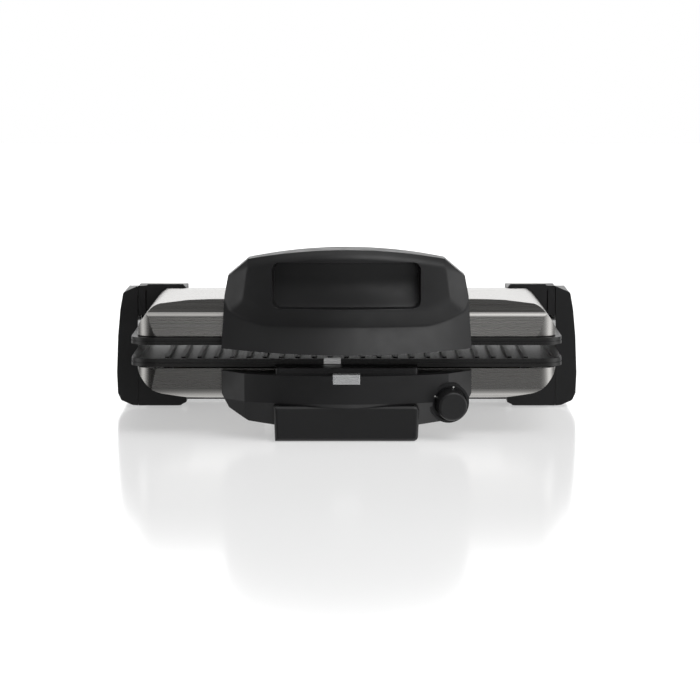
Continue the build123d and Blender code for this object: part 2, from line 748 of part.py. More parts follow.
def post_cover(sign):
    """Outer moulding of a rear post, open on its inner side."""
    with BuildPart() as cover:
        with BuildSketch(Plane.XZ.offset(-POST_BACK)):
            with BuildLine():
                FilletPolyline(
                    *[(sign * x, z) for x, z in POST_OUTLINE],
                    radius=[0.3, 4, 3, 3, 8, 8, 8, 3, 0.6], close=True,
                )
            make_face()
        extrude(amount=POST_BACK - POST_FRONT)
        with BuildSketch(Plane.YZ.offset(sign * (POST_INNER - 1))):
            with BuildLine():
                FilletPolyline(
                    (POST_FRONT, 0), (POST_BACK, 0), (POST_BACK, POST_TOP_BACK), (POST_FRONT, 104.4),
                    radius=[2, 2, 4, 1.2], close=True,
                )
            make_face()
        extrude(amount=sign * 20, mode=Mode.INTERSECT)
        with BuildSketch(Plane.YZ.offset(sign * POST_INNER)):
            with Locations(((POST_FRONT + POST_BACK) / 2, (GUIDE_LOW + GUIDE_HIGH) / 2)):
                Rectangle(POST_BACK - POST_FRONT - 2 * POST_WALL, GUIDE_HIGH - GUIDE_LOW + 0.3)
        extrude(amount=sign * (POST_POCKET - POST_INNER), mode=Mode.SUBTRACT)
        with BuildSketch(Plane.YZ.offset(sign * (POST_INNER + GUIDE_THICK))):
            with Locations(*POST_SCREWS):
                Circle(4)
                Circle(1.58, mode=Mode.SUBTRACT)
        extrude(amount=sign * (POST_POCKET - POST_INNER - GUIDE_THICK + 0.4))
    return cover


def post_guide(sign):
    """Inner plate of a rear post, with the vertical slot that the hinge rod rides in."""
    with BuildPart() as guide:
        with BuildSketch(Plane.YZ.offset(sign * POST_INNER)):
            with Locations(((POST_FRONT + POST_BACK) / 2, (GUIDE_LOW + GUIDE_HIGH) / 2)):
                RectangleRounded(POST_BACK - POST_FRONT - 2 * POST_WALL - GAP, GUIDE_HIGH - GUIDE_LOW, 0.6)
            with Locations((HINGE_Y, HINGE_Z + (FLOAT_UP - FLOAT_DOWN) / 2)):
                SlotCenterToCenter(FLOAT_UP + FLOAT_DOWN, 2 * SLOT_HALF, rotation=90, mode=Mode.SUBTRACT)
        extrude(amount=sign * (GUIDE_THICK - 0.1))
        with BuildSketch(Plane.YZ.offset(sign * POST_INNER)):
            with Locations(*POST_SCREWS):
                Circle(1.75)
        extrude(amount=sign * GUIDE_THICK, mode=Mode.SUBTRACT)
        with BuildSketch(Plane.YZ.offset(sign * POST_INNER)):
            with Locations(*POST_SCREWS):
                Circle(3.1)
        extrude(amount=sign * 1.6, mode=Mode.SUBTRACT)
    return guide


def rear_bracket(sign):
    """Block under and beside a rear corner of the lower shell: carries a post and a rubber foot."""
    with BuildPart() as bracket:
        with BuildSketch(Plane.XZ.offset(-(SHELL_BACK - 0.2))):
            with BuildLine():
                FilletPolyline(
                    *[(sign * x, z) for x, z in [
                        (WRAP_INNER, 4.2), (WRAP_INNER + 4, 2.2), (174, 1.2), (POST_INNER - 0.2, 1.2),
                        (POST_INNER - 0.2, 53), (WRAP_INNER, 53),
                    ]],
                    radius=0.5, close=True,
                )
            make_face()
        extrude(amount=SHELL_BACK - 0.2 - POST_FRONT)
        add(BASE_KEEPOUT, mode=Mode.SUBTRACT)
        with BuildSketch(Plane.XY.offset(-1)):
            with Locations((sign * 158, 92)):
                RectangleRounded(30.4, 22.4, 4.2)
        extrude(amount=3.4, mode=Mode.SUBTRACT)
        with BuildSketch(Plane.XY.offset(15)):
            with Locations(*BRACKET_SCREW_AT):
                Circle(M4_R + 0.03)
        extrude(amount=25, mode=Mode.SUBTRACT)
        with BuildSketch(Plane.XZ.offset(-SHELL_BACK)):
            with Locations(*[(sign * x, z) for x, z in TIE_AT]):
                Circle(M4_R + 0.03)
        extrude(amount=14, mode=Mode.SUBTRACT)
    return bracket


for side, sign in SIDES.items():
    finish(post_cover(sign), f"post_cover_{side}")
    finish(post_guide(sign), f"post_guide_{side}")
    finish(rear_bracket(sign), f"rear_bracket_{side}")

with BuildPart() as post_screws:
    for sign in SIDES.values():
        with BuildSketch(Plane.YZ.offset(sign * (POST_INNER + 0.2))):
            with Locations(*POST_SCREWS):
                Circle(3.0)
        extrude(amount=sign * 1.4)
        with BuildSketch(Plane.YZ.offset(sign * (POST_INNER + 1.6))):
            with Locations(*POST_SCREWS):
                Circle(1.55)
        extrude(amount=sign * 8)
finish(post_screws, "post_screws")

with BuildPart() as rear_foot_pads:
    with BuildSketch(Plane.XY):
        with Locations((-158, 92), (158, 92), (-158, 136), (158, 136)):
            RectangleRounded(30, 22, 4)
    extrude(amount=2.4)
    chamfer(rear_foot_pads.faces().sort_by(Axis.Z)[0].edges(), length=0.5)
finish(rear_foot_pads, "rear_foot_pads")

BRACKET_SCREW_Z = 34.0          # underside of the screw heads, on the lower shell's floor
COVER_TOP = 34.0
COVER_HALF = POST_INNER - 0.2
GLAND_AT = (-70, 18)
GLAND_TIP = 165.4
BORE_R = 3.6                # passage for the mains lead

with BuildPart() as rear_cover:
    with BuildSketch(Plane.YZ.offset(-COVER_HALF)):
        with BuildLine():
            FilletPolyline(
                (SHELL_BACK + GAP, 1.2), (POST_BACK - 0.3, 1.2), (POST_BACK - 0.3, COVER_TOP - 4),
                (POST_BACK - 8, COVER_TOP), (SHELL_BACK + GAP, COVER_TOP),
                radius=[0.4, 3, 3, 3, 0.4], close=True,
            )
        make_face()
    extrude(amount=2 * COVER_HALF)
    with BuildSketch(Plane.XZ.offset(-(SHELL_BACK - 1))):
        with Locations((0, (COVER_TOP + 1) / 2)):
            Rectangle(2 * COVER_HALF - 32, COVER_TOP - 11)
    extrude(amount=-(POST_BACK - SHELL_BACK - WALL + 0.4), mode=Mode.SUBTRACT)
    with BuildSketch(Plane.XY.offset(-1)):
        with Locations((-158, 136), (158, 136)):
            RectangleRounded(30.4, 22.4, 4.2)
    extrude(amount=3.4, mode=Mode.SUBTRACT)
    with BuildSketch(Plane.XZ.offset(-POST_BACK - 1)):
        with Locations(GLAND_AT):
            Circle(6.05)
    extrude(amount=8, mode=Mode.SUBTRACT)
    with BuildSketch(Plane.XZ.offset(-POST_BACK)):
        for x, z in TIE_AT:
            with Locations((x, z), (-x, z)):
                Circle(M4_R + 0.1)
    extrude(amount=POST_BACK - SHELL_BACK, mode=Mode.SUBTRACT)
    with BuildSketch(Plane.XZ.offset(-POST_BACK)):
        for x, z in TIE_AT:
            with Locations((x, z), (-x, z)):
                Circle(3.9)
    extrude(amount=3.4, mode=Mode.SUBTRACT)
finish(rear_cover, "rear_cover")

with BuildPart() as tie_screws:
    with BuildSketch(Plane.XZ.offset(-(POST_BACK - 3.4))):
        for x, z in TIE_AT:
            with Locations((x, z), (-x, z)):
                Circle(M4_HEAD)
    extrude(amount=-2.2)
    with BuildSketch(Plane.XZ.offset(-(POST_BACK - 3.4))):
        for x, z in TIE_AT:
            with Locations((x, z), (-x, z)):
                Circle(M4_R)
    extrude(amount=POST_BACK - SHELL_BACK + 8)
finish(tie_screws, "tie_screws")

with BuildPart() as bracket_screws:
    with BuildSketch(Plane.XY.offset(BRACKET_SCREW_Z)):
        with Locations(*BRACKET_SCREW_AT):
            Circle(M4_HEAD)
    extrude(amount=2.2)
    with BuildSketch(Plane.XY.offset(BRACKET_SCREW_Z)):
        with Locations(*BRACKET_SCREW_AT):
            Circle(M4_R)
    extrude(amount=-14)
finish(bracket_screws, "bracket_screws")

with BuildPart() as cord_gland:
    with BuildSketch(Plane.XZ.offset(-(POST_BACK - 3.4))):
        with Locations(GLAND_AT):
            Circle(6)
    extrude(amount=-4)
    with BuildSketch(Plane.XZ.offset(-(POST_BACK - 0.1))):
        with Locations(GLAND_AT):
            Circle(8.5)
    extrude(amount=-(GLAND_TIP - POST_BACK + 0.1), taper=9)
    with BuildSketch(Plane.XZ.offset(-(POST_BACK - 7.6))):
        with Locations(GLAND_AT):
            Circle(8.5)
    extrude(amount=-4.25)
    with BuildSketch(Plane.XZ.offset(-(POST_BACK - 9))):
        with Locations(GLAND_AT):
            Circle(BORE_R)
    extrude(amount=-30, mode=Mode.SUBTRACT)
finish(cord_gland, "cord_gland")

with BuildPart() as terminal_block:
    with BuildSketch(Plane.XY.offset(6.4)):
        with Locations((38, 132)):
            RectangleRounded(44, 15, 1.5)
    extrude(amount=13)
    with BuildSketch(Plane.XY.offset(11)):
        with Locations((38, 132)):
            with GridLocations(14, 1, 3, 1):
                Circle(2.6)
    extrude(amount=9, mode=Mode.SUBTRACT)
finish(terminal_block, "terminal_block")

with BuildPart() as thermal_fuse:
    with BuildSketch(Plane.YZ.offset(52)):
        with Locations((-20, 37.2)):
            Circle(2.2)
    extrude(amount=14)
    with BuildSketch(Plane.YZ.offset(46)):
        with Locations((-20, 37.2)):
            Circle(0.5)
    extrude(amount=26)
finish(thermal_fuse, "thermal_fuse")

# ---- floating hinge -----------------------------------------------------------------------------
BUSH_R = 4.6

with BuildPart() as hinge_rod:
    with BuildSketch(Plane.YZ.offset(-ROD_HALF)):
        with Locations((HINGE_Y, HINGE_Z)):
            Circle(ROD_R)
    extrude(amount=2 * ROD_HALF)
    chamfer(hinge_rod.edges().filter_by(GeomType.CIRCLE), length=0.4)
finish(hinge_rod, "hinge_rod")

for side, sign in SIDES.items():
    with BuildPart() as slider:
        with BuildSketch(Plane.YZ.offset(sign * SLIDER_X[0])):
            with Locations((HINGE_Y, HINGE_Z)):
                RectangleRounded(14, 12, 2)
                Circle(ROD_R + 0.02, mode=Mode.SUBTRACT)
        extrude(amount=sign * (SLIDER_X[1] - SLIDER_X[0]))
    finish(slider, f"hinge_slider_{side}")

with BuildPart() as rod_clips:
    for sign in SIDES.values():
        with BuildSketch(Plane.YZ.offset(sign * (SLIDER_X[1] + 0.1))):
            with Locations((HINGE_Y, HINGE_Z)):
                Circle(5)
                Circle(ROD_R + 0.02, mode=Mode.SUBTRACT)
                with Locations((0, -4)):
                    Rectangle(3, 5, mode=Mode.SUBTRACT)
        extrude(amount=sign * 0.8)
finish(rod_clips, "rod_clips")


def roof(y):
    """Height of the lid's top surface near its side."""
    crest = LID_TOP + 1.5
    return crest + (y + 20) * (LID_BACK_TOP - crest) / (SHELL_BACK - 14 + 20)


def lid_arm(sign):
    """Hinge arm: wraps a rear corner of the lid and runs down to the hinge rod."""
    with BuildPart() as arm:
        with BuildSketch(Plane.XZ.offset(-ARM_BACK)):
            with BuildLine():
                FilletPolyline(
                    *[(sign * x, z) for x, z in [
                        (WRAP_INNER, LID_EDGE + GAP), (ARM_OUTER, LID_EDGE + GAP), (ARM_OUTER, 104.4),
                        (171.4, 104.8), (170.6, WRAP_TOP), (WRAP_INNER + 2.4, WRAP_TOP),
                        (WRAP_INNER, WRAP_TOP - 3),
                    ]],
                    radius=0.5, close=True,
                )
            make_face()
        extrude(amount=ARM_BACK - POST_FRONT - 0.6)
        with BuildSketch(Plane.YZ):
            with BuildLine():
                FilletPolyline(
                    (POST_FRONT, LID_EDGE), (ARM_BACK, LID_EDGE), (ARM_BACK, WRAP_TOP - WRAP_FALL),
                    (POST_FRONT, WRAP_TOP), radius=[0.2, 0.2, 5, 0.6], close=True,
                )
            make_face()
        extrude(amount=ARM_OUTER, both=True, mode=Mode.INTERSECT)
        with BuildSketch(Plane.YZ.offset(sign * ARM_PLATE)):
            with BuildLine():
                FilletPolyline(
                    (112, LID_EDGE + GAP), (116, LID_EDGE), (121.5, 73), (HINGE_Y, 70), (134, 80),
                    (122, 97), (112, 97), radius=[0.3, 1, 2, 3, 6, 6, 0.5], close=True,
                )
            make_face()
            with Locations((HINGE_Y, HINGE_Z)):
                Circle(7.4)
        extrude(amount=sign * (ARM_OUTER - ARM_PLATE))
        with BuildSketch(Plane.YZ.offset(sign * (ARM_PLATE - 1))):
            with Locations((HINGE_Y, HINGE_Z)):
                Circle(BUSH_R + 0.02)
        extrude(amount=sign * 12, mode=Mode.SUBTRACT)
        with BuildSketch(Plane.XZ.offset(-(POST_FRONT + 6))):
            with Locations((sign * 172.2, 92)):
                Rectangle(1.1, 18)
        extrude(amount=12, mode=Mode.SUBTRACT)
        add(LID_KEEPOUT, mode=Mode.SUBTRACT)
        for x, y in ARM_SCREW_AT:
            with BuildSketch(Plane.XY.offset(roof(y) - 4)):
                with Locations((sign * x, y)):
                    Circle(M4_R + 0.03)
            extrude(amount=7.2, mode=Mode.SUBTRACT)
    return arm


for side, sign in SIDES.items():
    finish(lid_arm(sign), f"lid_arm_{side}")

with BuildPart() as arm_bushes:
    for sign in SIDES.values():
        with BuildSketch(Plane.YZ.offset(sign * ARM_PLATE)):
            with Locations((HINGE_Y, HINGE_Z)):
                Circle(BUSH_R)
                Circle(ROD_R + RUNNING, mode=Mode.SUBTRACT)
        extrude(amount=sign * (ARM_OUTER - ARM_PLATE))
finish(arm_bushes, "arm_bushes")

with BuildPart() as arm_screws:
    for sign in SIDES.values():
        for x, y in ARM_SCREW_AT:
            with BuildSketch(Plane.XY.offset(roof(y) - 2.4)):
                with Locations((sign * x, y)):
                    Circle(M4_R)
            extrude(amount=5)
            with BuildSketch(Plane.XY.offset(roof(y) - 2.4)):
                with Locations((sign * x, y)):
                    Circle(M4_HEAD)
            extrude(amount=-2.2)
finish(arm_screws, "arm_screws")
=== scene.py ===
"""Looks of the panini press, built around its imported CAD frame. Metres throughout."""
import json
import math

import bmesh
import bpy
import mathutils
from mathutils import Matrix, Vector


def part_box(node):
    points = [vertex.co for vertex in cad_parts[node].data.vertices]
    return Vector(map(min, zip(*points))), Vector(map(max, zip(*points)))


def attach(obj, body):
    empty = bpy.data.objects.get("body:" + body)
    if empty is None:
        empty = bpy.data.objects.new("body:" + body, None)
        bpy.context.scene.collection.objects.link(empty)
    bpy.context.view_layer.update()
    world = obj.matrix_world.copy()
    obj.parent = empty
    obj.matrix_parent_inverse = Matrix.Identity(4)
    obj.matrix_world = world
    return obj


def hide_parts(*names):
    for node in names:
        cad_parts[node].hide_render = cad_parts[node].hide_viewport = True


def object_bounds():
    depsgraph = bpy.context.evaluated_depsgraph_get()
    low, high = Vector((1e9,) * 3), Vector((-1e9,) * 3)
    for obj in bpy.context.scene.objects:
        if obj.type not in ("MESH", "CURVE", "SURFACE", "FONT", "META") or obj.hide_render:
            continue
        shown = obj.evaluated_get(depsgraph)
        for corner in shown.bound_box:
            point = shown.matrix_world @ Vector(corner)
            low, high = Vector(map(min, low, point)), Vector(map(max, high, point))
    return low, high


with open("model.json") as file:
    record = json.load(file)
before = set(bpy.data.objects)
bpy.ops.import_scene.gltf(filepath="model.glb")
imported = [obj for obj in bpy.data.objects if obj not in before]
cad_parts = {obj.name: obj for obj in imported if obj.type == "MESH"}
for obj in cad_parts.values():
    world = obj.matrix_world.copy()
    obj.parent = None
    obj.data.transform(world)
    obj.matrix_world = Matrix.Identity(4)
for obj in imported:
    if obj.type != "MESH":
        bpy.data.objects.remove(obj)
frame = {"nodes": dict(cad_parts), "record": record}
cad_low, cad_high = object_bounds()
nodes = frame["nodes"]

MM = 0.001
NOISE_RANGE = (0.3, 0.7)    # most of a noise texture's values lie here


# ---- node helpers -------------------------------------------------------------------------------
def new_material(name):
    """Returns (material, node tree, principled shader) with an empty procedural graph."""
    material = bpy.data.materials.new(name)
    material.use_nodes = True
    tree = material.node_tree
    return material, tree, tree.nodes["Principled BSDF"]


def object_coordinates(tree, scale):
    """Object coordinates stretched by scale, in cells per metre along each axis."""
    coordinates = tree.nodes.new("ShaderNodeTexCoord")
    mapping = tree.nodes.new("ShaderNodeMapping")
    mapping.inputs["Scale"].default_value = scale
    tree.links.new(coordinates.outputs["Object"], mapping.inputs["Vector"])
    return mapping.outputs["Vector"]


def noise(tree, scale, detail=2.0, roughness=0.5):
    """Noise whose cells are 1/scale metres along each axis."""
    texture = tree.nodes.new("ShaderNodeTexNoise")
    texture.inputs["Scale"].default_value = 1.0
    texture.inputs["Detail"].default_value = detail
    texture.inputs["Roughness"].default_value = roughness
    tree.links.new(object_coordinates(tree, scale), texture.inputs["Vector"])
    return texture.outputs["Fac"]


def between(tree, value, from_low, from_high, to_low, to_high):
    """Maps a value from one range to another, clamped."""
    mapper = tree.nodes.new("ShaderNodeMapRange")
    mapper.inputs["From Min"].default_value = from_low
    mapper.inputs["From Max"].default_value = from_high
    mapper.inputs["To Min"].default_value = to_low
    mapper.inputs["To Max"].default_value = to_high
    tree.links.new(value, mapper.inputs["Value"])
    return mapper.outputs["Result"]


def ramp(tree, value, low, high):
    """Maps a noise value to low..high."""
    return between(tree, value, *NOISE_RANGE, low, high)


def tint(tree, value, dark, light):
    """Mixes two colours by a 0..1 value."""
    mix = tree.nodes.new("ShaderNodeMix")
    mix.data_type = "RGBA"
    mix.inputs["A"].default_value = (*dark, 1)
    mix.inputs["B"].default_value = (*light, 1)
    tree.links.new(value, mix.inputs["Factor"])
    return mix.outputs["Result"]


def bump(tree, shader, height, distance, strength=1.0):
    """Feeds a height value to the shader's normal."""
    node = tree.nodes.new("ShaderNodeBump")
    node.inputs["Distance"].default_value = distance
    node.inputs["Strength"].default_value = strength
    tree.links.new(height, node.inputs["Height"])
    tree.links.new(node.outputs["Normal"], shader.inputs["Normal"])


# ---- materials ----------------------------------------------------------------------------------
def moulded_plastic(name, dark, light, rough, texture_depth, specular=0.5):
    """Moulded black plastic: fine spark-eroded grain, faint mottling and handling sheen."""
    material, tree, shader = new_material(name)
    mottle = noise(tree, (25, 25, 25), 4)
    tree.links.new(tint(tree, mottle, dark, light), shader.inputs["Base Color"])
    wear = noise(tree, (60, 60, 60), 3)
    tree.links.new(ramp(tree, wear, rough - 0.05, rough + 0.07), shader.inputs["Roughness"])
    shader.inputs["Specular IOR Level"].default_value = specular
    grain = noise(tree, (1800, 1800, 1800), 2)
    bump(tree, shader, grain, texture_depth, 0.6)
    return material


def brushed_metal(name, dark, light, rough, metallic, along):
    """Brushed metal: long fine scratches along X and a few broad smears."""
    material, tree, shader = new_material(name)
    scratches = noise(tree, along, 5, 0.65)
    tree.links.new(tint(tree, scratches, dark, light), shader.inputs["Base Color"])
    tree.links.new(ramp(tree, scratches, rough - 0.03, rough + 0.04), shader.inputs["Roughness"])
    shader.inputs["Metallic"].default_value = metallic
    bump(tree, shader, scratches, 0.000006, 0.2)
    return material


def cast_coating():
    """Non-stick coating on a die casting: dark grey with a fine mineral sparkle."""
    material, tree, shader = new_material("nonstick_coating")
    fleck = noise(tree, (900, 900, 900), 6, 0.8)
    colour = tint(tree, fleck, (0.008, 0.008, 0.0085), (0.022, 0.022, 0.021))
    tree.links.new(colour, shader.inputs["Base Color"])
    tree.links.new(ramp(tree, fleck, 0.24, 0.38), shader.inputs["Roughness"])
    shader.inputs["Metallic"].default_value = 0.15
    bump(tree, shader, noise(tree, (420, 420, 420), 4), 0.00008, 0.6)
    return material


def plain_metal(name, dark, light, rough):
    """Drawn or plated steel with fine random scratches and a patchy finish."""
    material, tree, shader = new_material(name)
    patches = noise(tree, (220, 220, 220), 6, 0.7)
    tree.links.new(tint(tree, patches, dark, light), shader.inputs["Base Color"])
    tree.links.new(ramp(tree, patches, rough - 0.08, rough + 0.1), shader.inputs["Roughness"])
    shader.inputs["Metallic"].default_value = 1.0
    bump(tree, shader, patches, 0.00004, 0.4)
    return material


def soft_rubber():
    """Matt black rubber with a dusty bloom."""
    material, tree, shader = new_material("foot_rubber")
    bloom = noise(tree, (300, 300, 300), 5)
    colour = tint(tree, bloom, (0.012, 0.012, 0.012), (0.045, 0.044, 0.043))
    tree.links.new(colour, shader.inputs["Base Color"])
    tree.links.new(ramp(tree, bloom, 0.75, 0.95), shader.inputs["Roughness"])
    bump(tree, shader, bloom, 0.00006, 0.6)
    return material


def matt(name, dark, light, rough, cells=400):
    """Dry ceramic, nylon or phenolic."""
    material, tree, shader = new_material(name)
    grain = noise(tree, (cells, cells, cells), 5)
    tree.links.new(tint(tree, grain, dark, light), shader.inputs["Base Color"])
    tree.links.new(ramp(tree, grain, rough - 0.06, rough + 0.06), shader.inputs["Roughness"])
    bump(tree, shader, grain, 0.00004, 0.5)
    return material


def ribbed_lens():
    """Clear lens with a frosted back: bright, slightly cloudy."""
    material, tree, shader = new_material("lens_plastic")
    cloud = noise(tree, (150, 150, 1400), 3)
    tree.links.new(tint(tree, cloud, (0.36, 0.37, 0.38), (0.56, 0.56, 0.56)), shader.inputs["Base Color"])
    tree.links.new(ramp(tree, cloud, 0.08, 0.18), shader.inputs["Roughness"])
    shader.inputs["Transmission Weight"].default_value = 0.2
    shader.inputs["IOR"].default_value = 1.5
    bump(tree, shader, cloud, 0.00001, 0.4)
    return material


MATERIALS = {
    "brushed_steel": brushed_metal(
        "brushed_steel_sheet", (0.43, 0.42, 0.405), (0.52, 0.51, 0.495), 0.27, 1.0, (4, 1500, 1500),
    ),
    "black_plastic": moulded_plastic(
        "satin_black_moulding", (0.0115, 0.0115, 0.012), (0.014, 0.014, 0.0145), 0.38, 0.00003,
    ),
    "gloss_plastic": moulded_plastic(
        "gloss_black_moulding", (0.010, 0.010, 0.011), (0.018, 0.018, 0.019), 0.22, 0.00002,
    ),
    "cast_nonstick": cast_coating(),
    # Painted highlight: this steel's base colour is lifted to near white and its metallic lowered to
    # 0.35. The diffuse part then glows bright even in the shade under the handle's skirt, standing in for
    # the highlight the catches would pick up.
    "polished_steel": brushed_metal(
        "drawn_steel_painted_highlight", (0.78, 0.78, 0.78), (0.92, 0.92, 0.92), 0.24, 0.35, (20, 900, 900),
    ),
    "zinc_steel": plain_metal("zinc_plated_steel", (0.45, 0.46, 0.48), (0.66, 0.67, 0.68), 0.34),
    "aluminised_sheet": plain_metal(
        "aluminised_sheet_metal", (0.52, 0.52, 0.51), (0.72, 0.72, 0.70), 0.3,
    ),
    "element_sheath": plain_metal("oxidised_sheath", (0.10, 0.085, 0.07), (0.22, 0.19, 0.16), 0.5),
    "lens_clear": ribbed_lens(),
    "lamp_glass": ribbed_lens(),
    "rubber": soft_rubber(),
    "dial_white": matt("printed_white", (0.72, 0.72, 0.70), (0.86, 0.86, 0.84), 0.5),
    "ceramic": matt("steatite", (0.70, 0.67, 0.60), (0.82, 0.80, 0.75), 0.4),
    "brass": plain_metal("bush_brass", (0.52, 0.38, 0.14), (0.74, 0.58, 0.28), 0.3),
    "nylon": matt("natural_nylon", (0.62, 0.60, 0.54), (0.74, 0.73, 0.68), 0.5),
    "bakelite": matt("phenolic_moulding", (0.035, 0.022, 0.015), (0.07, 0.045, 0.03), 0.4),
}

SLOT_OF = {entry["node"]: entry["material_slot"] for entry in frame["record"]["subparts"]}
BODY_OF = {
    node: body
    for body, members in frame["record"]["behaviour"]["bodies"].items()
    for node in members
}

for name, slot in SLOT_OF.items():
    nodes[name].data.materials.clear()
    nodes[name].data.materials.append(MATERIALS[slot])

BEVELLED_FROM = math.radians(32)    # edges at a flatter angle are left as they are
# Moulded and cast edges aren't razor sharp: each is broken by a small radius, in millimetres.
EDGE_RADIUS = {
    "console": 1.1, "front_foot": 0.8, "post_cover_left": 0.7, "post_cover_right": 0.7,
    "lid_arm_left": 0.5, "lid_arm_right": 0.5, "rear_bracket_left": 0.5, "rear_bracket_right": 0.5,
    "rear_cover": 0.6, "upper_grill_plate": 0.35, "lower_grill_plate": 0.35, "post_guide_left": 0.3,
    "post_guide_right": 0.3, "cord_gland": 0.3,
}
for name, radius in EDGE_RADIUS.items():
    rounding = nodes[name].modifiers.new("edge_radius", "BEVEL")
    rounding.width = radius * MM
    rounding.segments = 2
    rounding.limit_method = "ANGLE"
    rounding.angle_limit = BEVELLED_FROM


# ---- handle -------------------------------------------------------------------------------------
# Millimetres, X across, Z up, Y back. The handle is a solid between a front and a back surface over its
# outline seen from the front, then cut at the seam into its two mouldings.
HANDLE_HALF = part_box("handle_back")[1].x / MM
HANDLE_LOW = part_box("handle_front")[0].z / MM
HANDLE_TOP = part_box("handle_back")[1].z / MM
HANDLE_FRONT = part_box("handle_front")[0].y / MM
LID_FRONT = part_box("lid_shell")[0].y / MM
LID_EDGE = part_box("lid_shell")[0].z / MM
RIM_CLEAR_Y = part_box("handle_back")[0].y / MM + 2.5     # the skirt hangs in front of the plate's rim
LOWER_EDGE_RISE = 2.4
BOW_DEPTH = 20.5                    # fall-back of the bowed front at BOW_HALF
BOW_HALF = 81
SEAM_Y = LID_FRONT - 4.4
SEAM_GAP = 0.5
CREASE_Z = HANDLE_LOW + 20.9        # valley between the skirt and the overhanging band
CREASE_Y = HANDLE_FRONT + 14.5
CREASE_SWEEP = 13                   # rise of the crease at the handle's ends
CREASE_STRAIGHT_HALF = 62
CREASE_SWEEP_WIDE = 36
CREASE_SWEEP_POWER = 1.6
BAND_TOP = HANDLE_LOW + 35.6
BAND_LEAN = 0.44
PAD_Y = HANDLE_FRONT + 8.0
PAD_HALF = 83.5                     # from the middle to the side facets
PAD_TAPER = 0.14
PAD_LEAN = 0.05
FACET_SLOPE = 1.19
ROLL_HIGH = 6                       # the rolled top edge
ROLL_SLOPE = 1.3
ROLL_SET_BACK = 3
RECESS_HALF = 58.5
RECESS_Z = (104.4, 140.6)
RECESS_CORNER = 6.5
RECESS_LIP = (-0.5, 1.0)            # from outside the outline to inside it
RECESS_SHALLOW = 5.5
RECESS_DEEPER = 15.5
RECESS_SCOOP_HIGH = 27              # over this height the floor falls to its full depth
RECESS_FLATTER = 0.35               # how much of the bow the floor doesn't follow
SHOULDER = [(78.0, 142.7), (94.5, 128.4), (97.6, 112.0)]    # kinks of the outline


def soft_max(a, b, radius):
    """The larger of two values, rounded where they meet."""
    overlap = max(radius - abs(a - b), 0) / radius
    return max(a, b) + overlap * overlap * radius / 4


def soft_step(value, low, high):
    """0 below low, 1 above high, smooth between."""
    t = min(max((value - low) / (high - low), 0), 1)
    return t * t * (3 - 2 * t)


def follow(points, value):
    """Straight-line interpolation through (value, result) points."""
    for (a, low), (b, high) in zip(points, points[1:]):
        if value <= b:
            return low + (high - low) * max(value - a, 0) / (b - a)
    return points[-1][1]


def outline_low(x):
    """Lower edge of the handle."""
    return HANDLE_LOW + LOWER_EDGE_RISE * (x / HANDLE_HALF) ** 2


def outline_high(x):
    """Upper edge of the handle: a shallow arc, then the kinked shoulders and the sides."""
    x = abs(x)
    kink_x, kink_z = SHOULDER[0]
    if x <= kink_x:
        return HANDLE_TOP - (HANDLE_TOP - kink_z) * (x / kink_x) ** 2
    return follow([*SHOULDER, (HANDLE_HALF, outline_low(HANDLE_HALF) + 0.3)], x)


def bow(x):
    """How far the bowed front falls back from the middle."""
    return BOW_DEPTH * (x / BOW_HALF) ** 2


def crease_height(x):
    """The crease is straight in the middle and sweeps up at both ends."""
    beyond = max(abs(x) - CREASE_STRAIGHT_HALF, 0)
    return CREASE_Z + CREASE_SWEEP * (beyond / CREASE_SWEEP_WIDE) ** CREASE_SWEEP_POWER


def recess_depth(x, z):
    """Depth of the finger scoop below the pad: shallow at its lower lip, deep and upright further up."""
    rise = min(max(z - RECESS_Z[0], 0) / RECESS_SCOOP_HIGH, 1)
    return RECESS_SHALLOW + RECESS_DEEPER * (1 - (1 - rise) ** 2) - RECESS_FLATTER * bow(x)


def recess_amount(x, z):
    """1 inside the finger recess, 0 outside, with rounded lower corners and steep walls."""
    middle = (RECESS_Z[0] + RECESS_Z[1]) / 2
    across = abs(x) - (RECESS_HALF - RECESS_CORNER)
    up = abs(z - middle) - ((RECESS_Z[1] - RECESS_Z[0]) / 2 - RECESS_CORNER)
    outside = math.hypot(max(across, 0), max(up, 0)) + min(max(across, up), 0) - RECESS_CORNER
    return soft_step(-outside, *RECESS_LIP)


def handle_front_surface(x, z):
    """Front of the handle: leaning skirt, overhanging band, upright pad, side facets and rolled top."""
    crease = crease_height(x)
    depth = CREASE_Y + bow(x)
    skirt = depth - (CREASE_Y - HANDLE_FRONT) * (crease - z) / (crease - HANDLE_LOW)
    band = depth - BAND_LEAN * (z - crease)
    pad_edge = PAD_HALF - PAD_TAPER * (z - BAND_TOP)
    pad = PAD_Y + bow(min(abs(x), pad_edge)) - PAD_LEAN * (z - BAND_TOP)
    pad += FACET_SLOPE * max(abs(x) - pad_edge, 0)
    roll = PAD_Y + bow(x) - ROLL_SET_BACK + ROLL_SLOPE * (z - outline_high(x) + ROLL_HIGH)
    upper = soft_max(soft_max(band, pad, 1.6), roll, 4)
    surface = -soft_max(-skirt, -upper, 1.2)
    return surface + recess_depth(x, z) * recess_amount(x, z)


def handle_back_surface(z):
    """Back of the handle: over the plate's rim, down the lid's wall and shoulder, then sloping up."""
    return follow([
        (HANDLE_LOW - 1, RIM_CLEAR_Y), (LID_EDGE + 0.3, RIM_CLEAR_Y), (LID_EDGE + 0.5, LID_FRONT - 0.6),
        (97.4, LID_FRONT + 1.4), (107.4, -84.2), (HANDLE_TOP, -112),
    ], z)


def spread(stops, counts):
    """Even steps between stops, as many as counts says for each stretch."""
    values = [stops[0]]
    for (low, high), count in zip(zip(stops, stops[1:]), counts):
        values += [low + (high - low) * step / count for step in range(1, count + 1)]
    return values


def handle_columns():
    """X of the grid's columns, dense at the recess walls and along the sides."""
    kinks = [kink_x for kink_x, kink_z in SHOULDER]
    walls = [RECESS_HALF - 1.5, RECESS_HALF + 0.9]
    right = spread([0, *walls, *kinks, HANDLE_HALF], [38, 12, 16, 18, 6, 14])
    return [-x for x in reversed(right[1:])] + right


